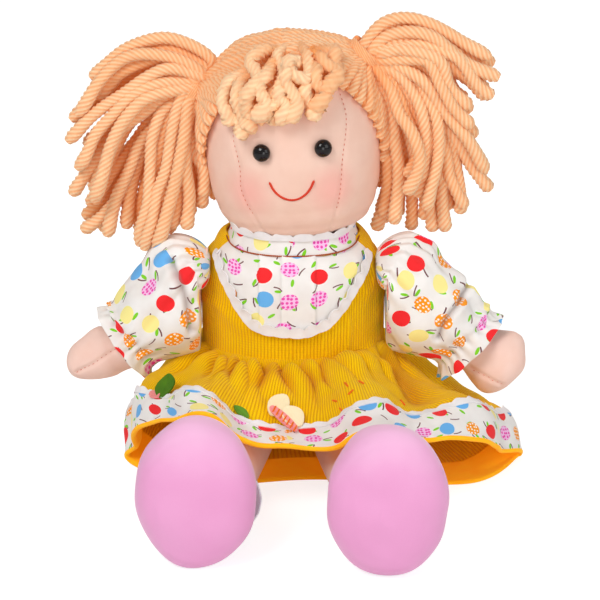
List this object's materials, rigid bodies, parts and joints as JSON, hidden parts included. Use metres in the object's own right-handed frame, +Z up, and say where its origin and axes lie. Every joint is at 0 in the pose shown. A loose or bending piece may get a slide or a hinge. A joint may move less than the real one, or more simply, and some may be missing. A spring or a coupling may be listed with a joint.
{
  "type": "rag doll",
  "caption": "Sitting cloth doll with yarn bunches, a printed puff-sleeved blouse, a corduroy pinafore dress, soft shoes and limbs that swing at sewn joints.",
  "frame": {"origin": "on the surface the doll sits on, under the middle of its torso", "axes": "+Z up, -Y the way the doll faces, +X towards its left hand, at the viewer's right"},
  "size_m": [0.2213, 0.2099, 0.22],
  "materials": {
    "skin_cloth": "smooth woven flesh cotton",
    "corduroy": "yellow corduroy",
    "printed_cotton": "off-white cotton with a scattered print",
    "lace": "white scalloped trim",
    "green_felt": "dark green felt",
    "cream_felt": "cream felt",
    "orange_thread": "embroidery thread",
    "eye_plastic": "glossy black bead",
    "washer_plastic": "plain moulded",
    "red_thread": "embroidery thread",
    "yarn": "thick twisted peach yarn",
    "elastic": "covered elastic thread",
    "pink_cloth": "smooth pink cotton",
    "sock_cloth": "white cotton"
  },
  "bodies": {
    "torso": {"torso": "skin_cloth", "bodice": "corduroy", "bib": "printed_cotton", "bib_ruffle": "lace", "collar_band": "printed_cotton", "collar_ruffle": "lace", "shoulder_strap_left": "corduroy", "shoulder_strap_right": "corduroy", "skirt": "corduroy", "hem_trim": "lace", "hem_band": "printed_cotton", "leaf_large": "green_felt", "leaf_small": "green_felt", "petal_left": "cream_felt", "petal_right": "cream_felt", "skirt_stitches": "orange_thread"},
    "neck": {"neck": "skin_cloth"},
    "head": {"head": "skin_cloth", "eye_left": "eye_plastic", "eye_right": "eye_plastic", "eye_washer_left": "washer_plastic", "eye_washer_right": "washer_plastic", "mouth_stitch": "red_thread", "hair_cap": "yarn", "hair_tie_left": "yarn", "hair_tie_right": "yarn", "fringe": "yarn"},
    "bunch_left": {"yarn_bunch_left": "yarn"},
    "bunch_right": {"yarn_bunch_right": "yarn"},
    "arm_left": {"arm_left": "skin_cloth", "sleeve_left": "printed_cotton", "cuff_elastic_left": "elastic"},
    "leg_left": {"leg_left": "skin_cloth", "sock_left": "sock_cloth", "shoe_upper_left": "pink_cloth", "shoe_sole_left": "pink_cloth"},
    "arm_right": {"arm_right": "skin_cloth", "sleeve_right": "printed_cotton", "cuff_elastic_right": "elastic"},
    "leg_right": {"leg_right": "skin_cloth", "sock_right": "sock_cloth", "shoe_upper_right": "pink_cloth", "shoe_sole_right": "pink_cloth"}
  },
  "joints": [
    {"name": "neck_nod", "type": "hinge", "parent": "torso", "child": "neck", "pos_m": [0, 0, 0.098], "axis": [1, 0, 0], "range_deg": [-10, 15], "stiffness_Nm_per_rad": 0.35, "deforming": ["collar_band", "collar_ruffle"]},
    {"name": "head_turn", "type": "hinge", "parent": "neck", "child": "head", "pos_m": [0, 0, 0.1132], "axis": [0, 0, 1], "range_deg": [-15, 15], "stiffness_Nm_per_rad": 0.08},
    {"name": "bunch_left_lift", "type": "hinge", "parent": "head", "child": "bunch_left", "pos_m": [-0.0569, 0, 0.1803], "axis": [0, 1, 0], "range_deg": [0, 45]},
    {"name": "bunch_right_lift", "type": "hinge", "parent": "head", "child": "bunch_right", "pos_m": [0.041, 0, 0.2018], "axis": [0, -1, 0], "range_deg": [0, 45]},
    {"name": "shoulder_left_swing", "type": "hinge", "parent": "torso", "child": "arm_left", "pos_m": [-0.0411, -0.011, 0.094], "axis": [-1, 0, 0], "range_deg": [-20, 75], "deforming": ["skirt", "hem_trim", "hem_band", "leaf_large", "leaf_small", "petal_left", "petal_right", "skirt_stitches"]},
    {"name": "shoulder_right_swing", "type": "hinge", "parent": "torso", "child": "arm_right", "pos_m": [0.0411, -0.011, 0.094], "axis": [-1, 0, 0], "range_deg": [-20, 75], "deforming": ["skirt", "hem_trim", "hem_band", "leaf_large", "leaf_small", "petal_left", "petal_right", "skirt_stitches"]},
    {"name": "hip_left_fold", "type": "hinge", "parent": "torso", "child": "leg_left", "pos_m": [-0.0215, -0.013, 0.0034], "axis": [1, 0, 0], "range_deg": [-15, 90], "deforming": ["skirt", "hem_trim", "hem_band", "leaf_large", "leaf_small", "petal_left", "petal_right", "skirt_stitches"]},
    {"name": "hip_right_fold", "type": "hinge", "parent": "torso", "child": "leg_right", "pos_m": [0.0215, -0.013, 0.0034], "axis": [1, 0, 0], "range_deg": [-15, 90], "deforming": ["skirt", "hem_trim", "hem_band", "leaf_large", "leaf_small", "petal_left", "petal_right", "skirt_stitches"]}
  ]
}
